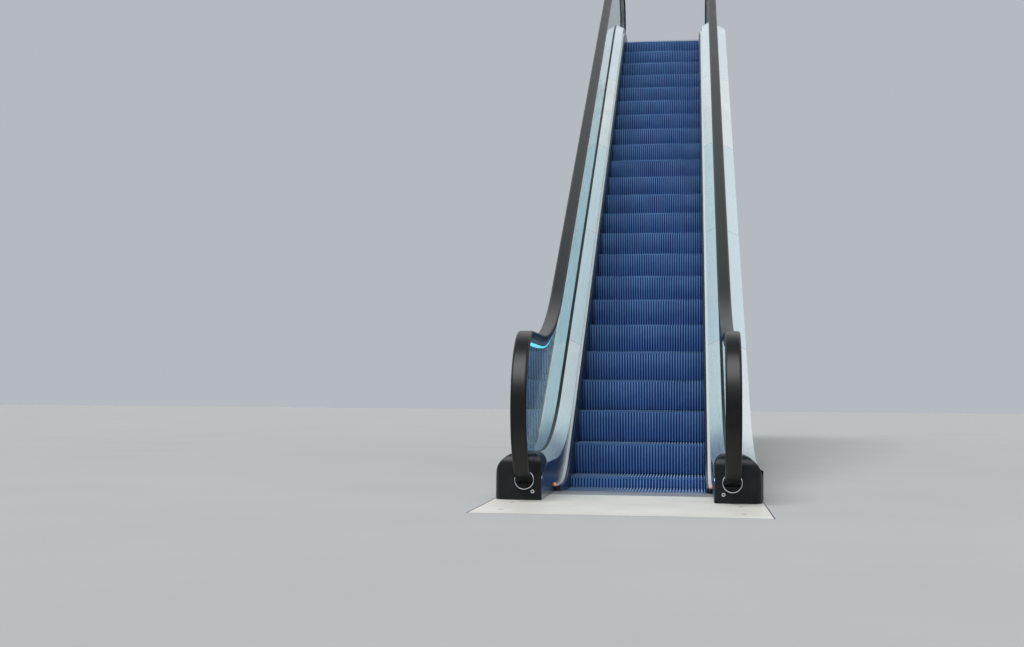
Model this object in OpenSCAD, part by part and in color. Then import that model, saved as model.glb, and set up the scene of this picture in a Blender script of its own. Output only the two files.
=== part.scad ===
// Escalator: a stepped moving stair between two floors, seen from the lower landing.
// X runs across, Y runs up the stair, Z is up. The origin lies on the flat underside
// of the lower support angle, at the middle of its flange.

/* [Overall] */
// Height from the lower finished floor to the upper one
rise = 4600; // [3600:100:6000]
// Slope of the straight run, in degrees
incline = 30; // [28:1:32]
// Width over the two outer deckings
overall_w = 1380; // [1340:10:1500]
// Distance between the centre lines of the two handrails
rail_spacing = 1050; // [1040:5:1080]
// Depth of the floor recess that takes the landings
seat_depth = 130; // [125:5:160]
// Distance from the comb tips to the end of each landing
landing_len = 1900; // [1700:50:2400]

/* [Step band] */
// Width of a step
step_w = 800; // [780:10:810]
// Distance between like points of two steps, along the band
step_pitch = 406.4; // [400:0.4:410]
// Gap between the back of a tread and the next riser
step_gap = 6; // [4:0.5:8]
// Distance of the first whole step's nosing past the lower comb tips
band_shift = 154; // [60:1:240]
// Radius of the nosing path at the lower bend
lower_radius = 1000; // [1000:50:1500]
// Radius of the nosing path at the upper bend
upper_radius = 1000; // [1000:50:1500]
// Length of the level run between the lower comb tips and the bend
lower_level = 200; // [100:10:400]
// Length of the level run between the bend and the upper comb tips
upper_level = 400; // [200:10:800]
// Thickness of a tread with its cleats
tread_t = 24; // [20:1:26]
// Thickness of a riser with its cleats
riser_t = 16; // [14:1:24]
// Number of grooves across a tread
grooves = 44; // [30:1:48]
// Width of one groove
groove_w = 11.6; // [10:0.2:13]
// Depth of one groove
groove_d = 11; // [10:0.5:12]
// Thickness of the side frame of a step
cheek_t = 12; // [8:1:20]

/* [Step rollers and tracks] */
// Width of a step roller
roller_w = 28; // [20:1:32]
// Radius of the stub axle that carries a roller
axle_r = 10; // [8:1:10]
// Distance from the nosing back to the stub axle
axle_back = 300; // [280:5:320]
// Distance from the top of the tread down to the stub axle
axle_drop = 62; // [60:1:66]
// Width of a roller track
track_w = 40; // [36:1:44]
// Thickness of a roller track
track_t = 10; // [6:1:10]

/* [Combs and floor plates] */
// Height of the floor plates above the level treads
tread_drop = 15; // [12:1:20]
// Length of the comb segments from their back edge to the tips
comb_len = 150; // [130:5:200]
// Length of the teeth
tooth_len = 62; // [50:1:80]
// Width of one tooth
tooth_w = 8.4; // [7:0.2:9]
// Number of comb segments side by side
comb_count = 4; // [2:1:8]
// Length of the comb plate behind the segments
comb_plate_len = 300; // [250:10:400]
// Thickness of the comb plate
comb_plate_t = 12; // [10:1:12]
// Thickness of a floor plate
floor_plate_t = 30; // [20:1:40]
// Number of floor plates in each landing
floor_plate_count = 3; // [2:1:5]
// Joint between neighbouring plates, panels and sheets
joint = 2; // [1:0.5:4]

/* [Skirt and decking] */
// Running gap between a step and the skirt
skirt_gap = 4; // [3:0.5:5]
// Thickness of the skirt board
skirt_t = 14; // [10:1:16]
// Width of the polished strip beside the skirt
strip_w = 16; // [12:1:24]
// Height of the polished strip
strip_h = 22; // [16:1:30]
// Height of the strip above the lower floor at the comb
strip_landing_h = 34; // [30:1:60]
// Height of the strip above the nosings on the slope
strip_slope_h = 106; // [90:1:120]
// Thickness of the interior panel and of the deckings
sheet_t = 4; // [3:0.5:5]
// Height of the inner decking's step side above the floors
deck_landing_h = 182; // [160:2:220]
// Height of the inner decking's step side above the nosings on the slope
deck_slope_h = 118; // [112:1:140]
// Rise of each decking towards the glass
deck_crown = 42; // [30:1:60]
// Radius of the lower bend of the deckings
deck_lower_radius = 2500; // [1500:100:3000]
// Radius of the upper bend of the deckings
deck_upper_radius = 2000; // [1500:100:3000]

/* [Glass and handrail] */
// Thickness of the glass
glass_t = 10; // [8:1:12]
// Wall of the clamp that holds the foot of the glass
clamp_wall = 10; // [8:1:14]
// Depth of the clamp
clamp_h = 60; // [50:5:80]
// Largest length of a glass panel on the slope
glass_len = 1700; // [1200:100:2200]
// Gap between glass panels
glass_gap = 4; // [3:1:6]
// Height of the handrail above the floors
rail_landing_h = 870; // [840:10:920]
// Height of the handrail above the nosings on the slope
rail_slope_h = 920; // [900:10:960]
// Width of the handrail
rail_w = 80; // [76:1:84]
// Thickness of the handrail
rail_t = 32; // [28:1:36]
// Radius of the lower bend of the handrail
rail_lower_radius = 2500; // [1500:100:3000]
// Radius of the upper bend of the handrail
rail_upper_radius = 2500; // [1500:100:3000]
// Distance from the comb tips to the centre of the newel curve
newel_reach = 850; // [700:10:1000]

/* [Newel base] */
// Distance of the base's toe in front of the newel curve's centre
base_front = 110; // [90:5:140]
// Length of the base at the floor
base_len = 330; // [300:10:400]
// Distance by which the toe leans back over the height of the base
toe_rake = 40; // [30:2:50]
// Radius of the base's shoulder on the outer side
outer_shoulder = 125; // [100:5:130]
// Radius of the base's shoulder on the side of the steps
inner_shoulder = 60; // [50:5:70]
// Height of the middle of the handrail's inlet above the floor
inlet_h = 102; // [98:1:108]
// Radius of the handrail's inlet
inlet_r = 45; // [44.5:0.5:46]
// Thickness of the inlet ring
inlet_ring_t = 7; // [5:0.5:7]
// Radius of the key switch
key_r = 9; // [7:1:12]

/* [Casing] */
// Vertical depth of the casing below the nosings on the slope
casing_depth = 1100; // [950:10:1300]
// Depth of the upper head below the upper floor
head_depth = 1050; // [950:10:1200]
// Thickness of the sheets below the casing
soffit_t = 10; // [6:1:10]
// Number of side panels along the escalator
side_panel_count = 8; // [5:1:12]
// Number of soffit sheets along the escalator
soffit_panel_count = 6; // [4:1:10]
// Number of cross frames under the slope
frame_count = 7; // [4:1:9]
// Thickness of a cross frame
frame_t = 12; // [8:1:20]

/* [Supports] */
// Width of the flange that rests on the floor's edge
flange_w = 120; // [100:10:140]
// Thickness of both legs of the support angle
flange_t = 12; // [10:1:16]
// Length of the support angle across the escalator
flange_len = 1240; // [1200:10:1300]
// Distance between the two bolt holes of a flange
bolt_spacing = 1000; // [900:10:1100]
// Radius of a bolt hole
bolt_r = 11; // [9:0.5:14]

/* [Hidden] */
$fn = 64;
eps = 0.01;
butt = 0.3;
far = 9000;
seat_clear = 0.3;
over = 1;

// Levels and stations along Y
floor_z = seat_depth;
tread_z = floor_z - tread_drop;
start_y = flange_w / 2 + flange_t;
comb_y = start_y + landing_len;
slope_tan = tan(incline);
half_tan = tan(incline / 2);
arc_rad = incline * PI / 180;
work_y = comb_y + lower_level + lower_radius * half_tan;
upper_work_y = work_y + rise / slope_tan;
upper_comb_y = upper_work_y + upper_radius * half_tan + upper_level;
end_y = upper_comb_y + landing_len;
newel_y = comb_y - newel_reach;
upper_newel_y = upper_comb_y + newel_reach;
base_y = newel_y - base_front;
deck_y0 = base_y + base_len;
deck_y1 = upper_newel_y + base_front - base_len;

// Lengths along the nosing path, counted from the lower comb tips
slope_len = (rise - (lower_radius + upper_radius) * (1 - cos(incline))) / sin(incline);
s_bend = lower_level;
s_slope = s_bend + lower_radius * arc_rad;
s_upper = s_slope + slope_len;
s_level = s_upper + upper_radius * arc_rad;
s_end = s_level + upper_level;
step_count = floor((s_end + tooth_len / 2 - band_shift) / step_pitch) + 2;

// Stations across, on one side
half_step = step_w / 2;
skirt_x = half_step + skirt_gap;
strip_x = skirt_x + skirt_t;
panel_x = strip_x + strip_w;
rail_x = rail_spacing / 2;
glass_fit = 0.2;
base_h = deck_landing_h + deck_crown;
inlet_reach = base_front - toe_rake * inlet_h / base_h;
inlet_up = rail_landing_h - inlet_h;
newel_radius = (pow(inlet_up, 2) + pow(inlet_reach, 2) - pow(rail_t / 2, 2)) / (2 * inlet_up - rail_t);
casing_radius = 1000;
step_clear = 240;
slope_clear = 300;
skirt_clear = 8;
roller_out = 12;
clamp_half = glass_t / 2 + glass_fit + clamp_wall;
edge_x = overall_w / 2;
side_x = edge_x - 2 * sheet_t;
roller_x = strip_x + roller_out;
roller_r = tread_z - axle_drop - seat_clear - track_t - soffit_t;
track_x = roller_x - (track_w - roller_w) / 2;

// A bent line is [height at the lower floor, height over the nosings on the slope,
// height at the upper floor, radius of the lower bend, radius of the upper bend]
function corner_1(l) = [work_y + (l[0] + tread_drop - l[1]) / slope_tan, floor_z + l[0]];
function corner_2(l) = [work_y + (rise + l[2] + tread_drop - l[1]) / slope_tan, floor_z + rise + l[2]];
function slope_dir(d) = [d * cos(incline), d * sin(incline)];
function tangent_1(l) = corner_1(l) - [l[3] * half_tan, 0];
function tangent_2(l) = corner_1(l) + slope_dir(l[3] * half_tan);
function tangent_3(l) = corner_2(l) - slope_dir(l[4] * half_tan);
function tangent_4(l) = corner_2(l) + [l[4] * half_tan, 0];
// The line moved by n square to itself, upwards when n is positive
function moved(l, n) = [l[0] + n, l[1] + n / cos(incline), l[2] + n, l[3] - n, l[4] + n];

nosing_line = [-tread_drop, 0, -tread_drop, lower_radius, upper_radius];
strip_line = [strip_landing_h, strip_slope_h, strip_landing_h, lower_radius, upper_radius];
deck_line = [deck_landing_h, deck_slope_h, deck_landing_h, deck_lower_radius, deck_upper_radius];
clamp_line = moved(deck_line, deck_crown);
rail_line = [rail_landing_h, rail_slope_h, rail_landing_h, rail_lower_radius, rail_upper_radius];
skirt_foot_drop = axle_drop - axle_r - skirt_clear;
skirt_foot_slope = axle_drop + axle_back * slope_tan - axle_r / cos(incline) - skirt_clear;
skirt_foot_line = [-skirt_foot_drop - tread_drop, -skirt_foot_slope, -skirt_foot_drop - tread_drop,
    lower_radius, upper_radius];
axle_line = [-tread_drop - axle_drop, -axle_drop - axle_back * slope_tan, -tread_drop - axle_drop,
    lower_radius, upper_radius];
track_line = moved(axle_line, -roller_r - seat_clear);
soffit_line = [soffit_t - floor_z, -casing_depth, -head_depth, casing_radius, casing_radius];
step_clear_line = [-step_clear, -slope_clear, -step_clear, casing_radius, casing_radius];

// Place of a nosing at the length s along the path, as [y, z]
function nosing(s) =
    s < s_bend ? [comb_y + s, tread_z] :
    s < s_slope ? [comb_y + s_bend + lower_radius * sin((s - s_bend) / lower_radius * 180 / PI),
        tread_z + lower_radius * (1 - cos((s - s_bend) / lower_radius * 180 / PI))] :
    s < s_upper ? [work_y, tread_z] + slope_dir(s - s_slope + lower_radius * half_tan) :
    s < s_level ? [upper_comb_y - upper_level - upper_radius * sin((s_level - s) / upper_radius * 180 / PI),
        tread_z + rise - upper_radius * (1 - cos((s_level - s) / upper_radius * 180 / PI))] :
    [upper_comb_y + s - s_end, tread_z + rise];

// Middle of the escalator, rounded, which long outlines are drawn about
middle = [1000 * round((comb_y + upper_comb_y) / 2000), 1000 * round(rise / 2000)];

// Points of a bend of radius r about c from angle a0 to a1, on the curve or just outside it
bend_parts = 16;
function spoke(c, r, a) = c + r * [cos(a), sin(a)];
function on_bend(c, r, a0, a1, parts = bend_parts) =
    [for (i = [0 : parts]) spoke(c, r, a0 + (a1 - a0) * i / parts)];
function off_bend(c, r, a0, a1) =
    [for (i = [0.5 : bend_parts])
        spoke(c, r / cos((a1 - a0) / bend_parts / 2), a0 + (a1 - a0) * i / bend_parts)];

// Points along a bent line from y0 to y1, nowhere above it or nowhere below it
function not_above(l, y0, y1) = concat([[y0, corner_1(l)[1]]],
    off_bend(tangent_1(l) + [0, l[3]], l[3], -90, incline - 90),
    on_bend(tangent_4(l) - [0, l[4]], l[4], 90 + incline, 90), [[y1, corner_2(l)[1]]]);
function not_below(l, y0, y1) = concat([[y0, corner_1(l)[1]]],
    on_bend(tangent_1(l) + [0, l[3]], l[3], -90, incline - 90),
    off_bend(tangent_4(l) - [0, l[4]], l[4], 90 + incline, 90), [[y1, corner_2(l)[1]]]);
function reversed(list) = [for (i = [1 : len(list)]) list[len(list) - i]];

// Flat region between two rows of points that both run up the stair
module field(low, high) {
    translate(middle) polygon([for (p = concat(high, reversed(low))) p - middle]);
}

// Flat region between two bent lines, from y0 to y1
module between(low, high, y0, y1) {
    field(not_below(low, y0, y1), not_above(high, y0, y1));
}

// Raises a drawing of y and z into a plate from x0 to x1
module plate_x(x0, x1) {
    translate([x0, 0, 0]) rotate([90, 0, 90]) linear_extrude(x1 - x0) children();
}

// Sweeps a section, drawn with x to the right and the line's upward normal up, along a
// bent line from y0 to y1, in lengths with butt joints at both ends of each bend
module sweep(l, y0, y1) {
    at(tangent_1(l) - [butt, 0]) straight_run(0, tangent_1(l)[0] - y0 - butt) children();
    at(tangent_1(l) + [0, l[3]])
        rotate([0, 90, 0])
        rotate_extrude(angle = incline)
        translate([l[3], 0]) rotate(90) children();
    at(tangent_3(l) - slope_dir(butt))
        straight_run(incline, norm(tangent_3(l) - tangent_2(l)) - 2 * butt) children();
    at(tangent_4(l) - [0, l[4]])
        rotate([180, -90, 0])
        rotate_extrude(angle = incline)
        translate([l[4], 0]) mirror([0, 1]) rotate(-90) children();
    at([y1, corner_2(l)[1]]) straight_run(0, y1 - tangent_4(l)[0] - butt) children();
}

// Straight stretch of a sweep that ends here and comes up a slope over len
module straight_run(slope, len) {
    rotate([90 + slope, 0, 0]) linear_extrude(len) children();
}

// Moves to [y, z], in whole metres first and then in millimetres
module at(p) {
    metres = [floor(p[0] / 1000), floor(p[1] / 1000)] * 1000;
    translate([0, metres[0], metres[1]]) translate([0, p[0] - metres[0], p[1] - metres[1]]) children();
}

// Copies the right side to the left as well
module both_sides() {
    children();
    mirror([1, 0, 0]) children();
}

// Turns what stands at the lower comb tips round to the upper comb tips
module at_upper_end() {
    translate([0, comb_y + upper_comb_y, rise]) mirror([0, 1, 0]) children();
}

// Side outline of a step, with the nosing at the origin and the tread running to the right
step_reach = step_pitch - step_gap;
riser_lap = 10;
riser_drop = step_pitch * sin(incline) + riser_lap;
curve_parts = 180;
module step_outline(inset) {
    intersection() {
        translate([step_pitch, 0]) circle(step_pitch - inset, $fn = curve_parts);
        translate([-eps, -riser_drop]) square([step_pitch, riser_drop - inset]);
    }
}

module step_shell(inset) {
    difference() {
        intersection() {
            step_outline(inset);
            translate([0, -riser_drop]) square([step_reach, riser_drop]);
        }
        difference() {
            translate([step_pitch, 0]) circle(step_pitch - riser_t, $fn = curve_parts);
            translate([0, -tread_t]) square([2 * step_pitch, 2 * step_pitch]);
        }
    }
}

// Web of the side frame, from the tread down to the stub axle and across to the riser
cheek_foot = 90;
module step_cheek() {
    intersection() {
        step_outline(0);
        polygon([[riser_t, -tread_t / 2], [axle_back + 2 * axle_r, -tread_t / 2],
            [axle_back + 2 * axle_r, -axle_drop - axle_r], [axle_back - 2 * axle_r, -axle_drop - 2 * axle_r],
            [cheek_foot, -riser_drop], [0, -riser_drop]]);
    }
}

groove_pitch = step_w / grooves;
module step_casting() {
    difference() {
        union() {
            plate_x(-half_step, half_step) step_shell(0);
            for (side = [-1, 1])
                translate([side * (half_step - cheek_t / 2), 0, 0])
                    plate_x(-cheek_t / 2, cheek_t / 2) step_cheek();
        }
        for (i = [0 : grooves - 1])
            translate([(i + 0.5) * groove_pitch - half_step, 0, 0])
                plate_x(-groove_w / 2, groove_w / 2) groove_outline();
    }
    both_sides()
        translate([half_step - eps, axle_back, -axle_drop])
        rotate([0, 90, 0]) cylinder(r = axle_r, h = roller_x - half_step + eps);
}

// Side outline of one groove over the tread and down the riser
module groove_outline() {
    difference() {
        translate([-step_pitch, -2 * riser_drop]) square([3 * step_pitch, 3 * riser_drop]);
        translate([step_pitch, 0]) circle(step_pitch - groove_d, $fn = curve_parts);
    }
    translate([0, -groove_d]) square([2 * step_pitch, 2 * groove_d]);
}

// The steps from number first up to the one before last, cut off above the sheets below
sheet_clear = 3;
module steps(first, last) {
    color("royalblue")
        for (k = [first : last - 1]) {
            place = nosing(band_shift + (k - 1) * step_pitch);
            intersection() {
                translate([0, place[0], place[1]]) step_casting();
                translate([-half_step * 2, 0, soffit_t + sheet_clear])
                    cube([half_step * 4, end_y, far]);
            }
        }
}

lower_split = 3;
middle_split = round(step_count / 2);
upper_split = step_count - lower_split;
module lower_steps() { steps(0, lower_split); }
module lower_slope_steps() { steps(lower_split, middle_split); }
module upper_slope_steps() { steps(middle_split, upper_split); }
module upper_steps() { steps(upper_split, step_count); }

module step_rollers() {
    color("dimgray")
        for (k = [0 : step_count - 1]) {
            place = nosing(band_shift + (k - 1) * step_pitch);
            both_sides()
                translate([roller_x, place[0] + axle_back, place[1] - axle_drop])
                rotate([0, 90, 0]) cylinder(r = roller_r, h = roller_w);
        }
}

module right_track() {
    color("slategray")
        sweep(track_line, comb_y - step_pitch, upper_comb_y + step_pitch)
        translate([track_x, -track_t]) square([track_w, track_t]);
}
module left_track() { mirror([1, 0, 0]) right_track(); }

// Comb segments: a wedge that falls towards the steps and ends in teeth in the grooves
comb_slot = 1;
comb_fall = 2;
comb_clear = 2;
tooth_root = 2;
tooth_heel = 0.6;
tooth_face = 4;
module combs() {
    segment_w = step_w / comb_count;
    foot = comb_clear - tread_drop;
    tooth_foot = foot - groove_d;
    color("silver") {
        for (i = [0 : comb_count - 1])
            translate([i * segment_w - half_step, 0, 0])
                plate_x(comb_slot / 2, segment_w - comb_slot / 2)
                translate([comb_y, floor_z])
                polygon([[-comb_len, 0], [-tooth_len, -comb_fall], [-tooth_len, foot], [-comb_len, foot]]);
        for (i = [0 : grooves - 1])
            translate([(i + 0.5) * groove_pitch - half_step, 0, 0])
                plate_x(-tooth_w / 2, tooth_w / 2)
                translate([comb_y, floor_z])
                polygon([[-tooth_len - tooth_root, -comb_fall - tooth_root], [0, foot - groove_d / 2],
                    [-tooth_face, tooth_foot], [-tooth_len * tooth_heel, tooth_foot],
                    [-tooth_len - tooth_root, foot]]);
    }
}
module lower_combs() { combs(); }
module upper_combs() { at_upper_end() combs(); }

module comb_plate() {
    translate([-panel_x, comb_y - comb_len - comb_plate_len, floor_z - comb_plate_t])
        cube([2 * panel_x, comb_plate_len, comb_plate_t]);
}
module comb_plates() {
    color("gainsboro") {
        comb_plate();
        at_upper_end() comb_plate();
    }
}

// Removable plates over the landing, with the joints between them
plates_end_y = comb_y - comb_len - comb_plate_len;
end_plate_t = 2 * sheet_t;
plates_start_y = start_y + end_plate_t;
plate_len = (plates_end_y - plates_start_y) / floor_plate_count;
plate_half = side_x - joint;
module floor_plates() {
    color("antiquewhite")
        for (i = [0 : floor_plate_count - 1])
            translate([-plate_half, plates_start_y + i * plate_len, floor_z - floor_plate_t])
                cube([2 * plate_half, plate_len - joint, floor_plate_t]);
}
module lower_floor_plates() { floor_plates(); }
module upper_floor_plates() { at_upper_end() floor_plates(); }

// Beams under the joints of the floor plates and one under the comb plate
beam_w = 60;
comb_beam_w = 40;
upper_beam_h = 160;
module beams(foot_z) {
    for (i = [0 : floor_plate_count])
        translate([-side_x, plates_start_y + i * (plate_len - beam_w / floor_plate_count), foot_z])
            cube([2 * side_x, beam_w, floor_z - floor_plate_t - foot_z]);
    translate([-side_x, plates_end_y + joint, foot_z])
        cube([2 * side_x, comb_beam_w, floor_z - comb_plate_t - foot_z]);
}
module landing_beams() {
    color("gray") {
        beams(soffit_t);
        at_upper_end() beams(floor_z - floor_plate_t - upper_beam_h);
    }
}

skirt_y0 = comb_y - comb_len;
skirt_y1 = upper_comb_y + comb_len;
skirt_tuck = 4;
module right_skirt() {
    color("midnightblue")
        plate_x(skirt_x, strip_x)
        between(skirt_foot_line, moved(strip_line, -skirt_tuck), skirt_y0, skirt_y1);
}
module left_skirt() { mirror([1, 0, 0]) right_skirt(); }

module right_skirt_strip() {
    color("white")
        plate_x(strip_x, panel_x)
        between(moved(strip_line, -strip_h), strip_line, skirt_y0, skirt_y1);
}
module left_skirt_strip() { mirror([1, 0, 0]) right_skirt_strip(); }

// Raked front edge with a round upper corner, for something of this height that stands
// on the floor with its foremost point at 0
corner_parts = 16;
rake = atan2(base_h, toe_rake);
function raked_toe(h, r) =
    on_bend([(r + (h - r) * cos(rake)) / sin(rake), h - r], r, 90 + rake, 90, corner_parts);

// The same point at the upper end of the escalator
function at_top(p) = [comb_y + upper_comb_y - p[0], p[1] + rise];

// Interior panel: past the decking's end it sweeps down and closes the side of the newel base
panel_back = 14;
panel_toe_h = 140;
panel_toe_r = 50;
panel_sweep = 150;
sweep_parts = 12;
function panel_toe() = concat([[0, 0]], raked_toe(panel_toe_h, panel_toe_r));
function panel_rise(i) = [deck_y0 + panel_sweep * (i / sweep_parts - 1),
    floor_z + panel_toe_h
    + (deck_landing_h - sheet_t - panel_toe_h) * (1 - cos(180 * i / sweep_parts)) / 2];
panel_end = concat([for (p = panel_toe()) p + [base_y + panel_back, floor_z]],
    [for (i = [0 : sweep_parts - 1]) panel_rise(i)]);
module right_interior_panels() {
    low = concat([[skirt_y0, floor_z]], not_below(moved(strip_line, -strip_h), skirt_y0, skirt_y1),
        [[skirt_y1, floor_z + rise]]);
    high = concat(panel_end, not_above(moved(deck_line, -sheet_t), deck_y0, deck_y1),
        reversed([for (p = panel_end) at_top(p)]));
    color("steelblue") plate_x(panel_x, panel_x + sheet_t) field(low, high);
}
module left_interior_panels() { mirror([1, 0, 0]) right_interior_panels(); }

// Inner decking: a sheet that rises from the skirt side to the glass clamp
inner_deck_w = rail_x - clamp_half - panel_x;
module right_inner_decking() {
    color("lightsteelblue")
        sweep(deck_line, deck_y0, deck_y1)
        translate([panel_x, 0])
        polygon([[0, -sheet_t], [sheet_t, -sheet_t], [inner_deck_w, deck_crown - sheet_t],
            [inner_deck_w, deck_crown], [0, 0]]);
}
module left_inner_decking() { mirror([1, 0, 0]) right_inner_decking(); }

// Outer decking: a sheet that falls away from the glass and turns down over the side panels
outer_deck_w = edge_x - rail_x - clamp_half;
outer_fall = 75;
lip_h = 40;
module right_outer_decking() {
    color("lightgray")
        sweep(deck_line, deck_y0, deck_y1)
        translate([rail_x + clamp_half, deck_crown])
        polygon([[0, 0], [outer_deck_w, -outer_fall], [outer_deck_w, -outer_fall - lip_h],
            [outer_deck_w - sheet_t, -outer_fall - lip_h], [outer_deck_w - sheet_t, -outer_fall - sheet_t],
            [0, -sheet_t]]);
}
module left_outer_decking() { mirror([1, 0, 0]) right_outer_decking(); }

// Clamp that holds the foot of the glass between two walls
glass_bite = 40;
slot_half = glass_t / 2 + glass_fit;
module right_glass_clamp() {
    color("black")
        sweep(clamp_line, deck_y0, deck_y1)
        translate([rail_x, 0])
        polygon([[-clamp_half, -clamp_h], [clamp_half, -clamp_h], [clamp_half, 0], [slot_half, 0],
            [slot_half, -glass_bite], [-slot_half, -glass_bite], [-slot_half, 0], [-clamp_half, 0]]);
}
module left_glass_clamp() { mirror([1, 0, 0]) right_glass_clamp(); }

// Glass: level panels with a round newel end, bent panels and straight ones between
glass_top_gap = 18;
glass_top_drop = rail_t + glass_top_gap;
glass_foot_line = moved(clamp_line, -glass_bite);
glass_top_line = moved(rail_line, -glass_top_drop);
newel_center = [newel_y, floor_z + rail_landing_h - newel_radius];
upper_newel_center = [upper_newel_y, newel_center[1] + rise];
glass_r = newel_radius - glass_top_drop;
guide_turn = 160;
newel_parts = 48;
toe_clear = 5;
glass_heel = [base_y + toe_rake * (deck_landing_h + deck_crown - glass_bite) / base_h - toe_clear,
    corner_1(glass_foot_line)[1]];
module glass_field() {
    level = not_above(glass_top_line, newel_y, upper_newel_y);
    foot = not_below(glass_foot_line, newel_y, upper_newel_y);
    field(concat([glass_heel], [for (i = [1 : len(foot) - 2]) foot[i]], [at_top(glass_heel)]),
        concat(on_bend(newel_center, glass_r, 90 + guide_turn, 90, newel_parts),
            [for (i = [1 : len(level) - 2]) level[i]],
            on_bend(upper_newel_center, glass_r, 90, 90 - guide_turn, newel_parts)));
}
bend_lap = 200;
glass_start_y = tangent_2(rail_line)[0] + bend_lap;
glass_stop_y = tangent_3(rail_line)[0] - bend_lap;
glass_count = ceil((glass_stop_y - glass_start_y) / (glass_len * cos(incline)));
glass_pitch = (glass_stop_y - glass_start_y) / glass_count;
level_glass = newel_reach - bend_lap / 2;
glass_stations = concat([newel_y + level_glass],
    [for (i = [0 : glass_count]) glass_start_y + i * glass_pitch], [upper_newel_y - level_glass]);
module right_glass() {
    color("paleturquoise", 0.5)
        plate_x(rail_x - glass_t / 2, rail_x + glass_t / 2)
        difference() {
            glass_field();
            for (y = glass_stations)
                translate([y - glass_gap / 2, 0]) square([glass_gap, far]);
        }
}
module left_glass() { mirror([1, 0, 0]) right_glass(); }

// Sweeps a section along the handrail's line and round both newels.
// turn is the angle of each newel curve
module rail_sweep(turn) {
    sweep(rail_line, newel_y + butt, upper_newel_y - butt) children();
    at(newel_center) rail_newel(turn) children();
    at(upper_newel_center) mirror([0, 1, 0]) rail_newel(turn) children();
}
module rail_newel(turn) {
    rotate([180, -90, 0])
        rotate_extrude(angle = turn)
        translate([newel_radius, 0]) mirror([0, 1]) rotate(-90) children();
}

// Handrail section: a flat oval with a T slot, its top at height 0
rail_edge_r = 12;
edge_parts = 4;
slot_wall = 11;
slot_h = 12;
slot_mouth = 20;
slot_lip = rail_t - 2 * slot_h;
function rail_edge(x, z, a0) = on_bend([x, z], rail_edge_r, a0, a0 + 90, edge_parts);
module rail_section() {
    x = rail_w / 2 - rail_edge_r;
    slot_x = rail_w / 2 - slot_wall;
    translate([rail_x, 0])
        polygon(concat(
            rail_edge(x, -rail_edge_r, 0), rail_edge(-x, -rail_edge_r, 90),
            rail_edge(-x, rail_edge_r - rail_t, 180),
            [[-slot_mouth, -rail_t], [-slot_mouth, slot_lip - rail_t], [-slot_x, slot_lip - rail_t],
                [-slot_x, -slot_h], [slot_x, -slot_h], [slot_x, slot_lip - rail_t],
                [slot_mouth, slot_lip - rail_t], [slot_mouth, -rail_t]],
            rail_edge(x, rail_edge_r - rail_t, 270)));
}

// Core that ties two lengths of the handrail together across their joint
core_len = 24;
core_inset = 4;
module splice(p, slope) {
    half = core_len / 2 * [cos(slope), sin(slope)];
    at(p + half)
        straight_run(slope, core_len)
        translate([rail_x - rail_w / 2 + slot_wall, core_inset - slot_h])
        square([rail_w - 2 * slot_wall, slot_h - 2 * core_inset]);
}
module right_handrail() {
    color("dimgray") {
        rail_sweep(180) rail_section();
        for (p = [[newel_y, corner_1(rail_line)[1]], tangent_1(rail_line), tangent_4(rail_line),
            [upper_newel_y, corner_2(rail_line)[1]]])
            splice(p, 0);
        splice(tangent_2(rail_line), incline);
        splice(tangent_3(rail_line), incline);
    }
}
module left_handrail() { mirror([1, 0, 0]) right_handrail(); }

// Guide section: a flat head in the handrail's slot over a channel for the glass edge
guide_clear = 0.4;
neck_clear = 2;
guide_half = 22;
guide_h = 24;
guide_bite = 10;
module guide_section() {
    head = rail_w / 2 - slot_wall - guide_clear;
    neck = slot_mouth - neck_clear;
    foot = -glass_top_drop - guide_bite;
    translate([rail_x, 0])
        polygon([[-head, -slot_h - guide_clear], [head, -slot_h - guide_clear],
            [head, -2 * slot_h + guide_clear], [neck, -2 * slot_h + guide_clear],
            [neck, foot + guide_h], [guide_half, foot + guide_h], [guide_half, foot],
            [slot_half, foot], [slot_half, glass_fit - glass_top_drop],
            [-slot_half, glass_fit - glass_top_drop], [-slot_half, foot], [-guide_half, foot],
            [-guide_half, foot + guide_h], [-neck, foot + guide_h],
            [-neck, -2 * slot_h + guide_clear], [-head, -2 * slot_h + guide_clear]]);
}
module right_handrail_guide() {
    color("silver") rail_sweep(guide_turn) guide_section();
}
module left_handrail_guide() { mirror([1, 0, 0]) right_handrail_guide(); }

// Light strip under the inner half of the guide, beside the glass
light_w = 14;
light_h = 10;
light_back_off = 60;
module light_strips() {
    color("cyan")
        both_sides()
        sweep(rail_line, newel_y + light_back_off, upper_newel_y - light_back_off)
        translate([rail_x - slot_half - light_w, -glass_top_drop - guide_bite - light_h])
        square([light_w, light_h]);
}

// Newel base: a moulded cap with a raked toe, round shoulders and a collar round the ends of
// the deckings, open in front for the handrail
base_inner_x = panel_x + sheet_t + seat_clear;
base_inset = 14;
base_outer_x = edge_x - base_inset;
toe_r = 70;
dome_up = 18;
dome_h = base_h + dome_up;
module base_outline() {
    translate([base_y, floor_z])
        polygon(concat([[0, 0]], raked_toe(dome_h, toe_r), [[base_len, dome_h], [base_len, 0]]));
}
module base_front_view() {
    w = base_outer_x - base_inner_x;
    translate([base_inner_x, floor_z])
        polygon(concat([[w, 0]],
            on_bend([w, dome_h] - outer_shoulder * [1, 1], outer_shoulder, 0, 90, corner_parts),
            on_bend([0, dome_h] + inner_shoulder * [1, -1], inner_shoulder, 90, 180, corner_parts),
            [[0, 0]]));
}
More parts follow.
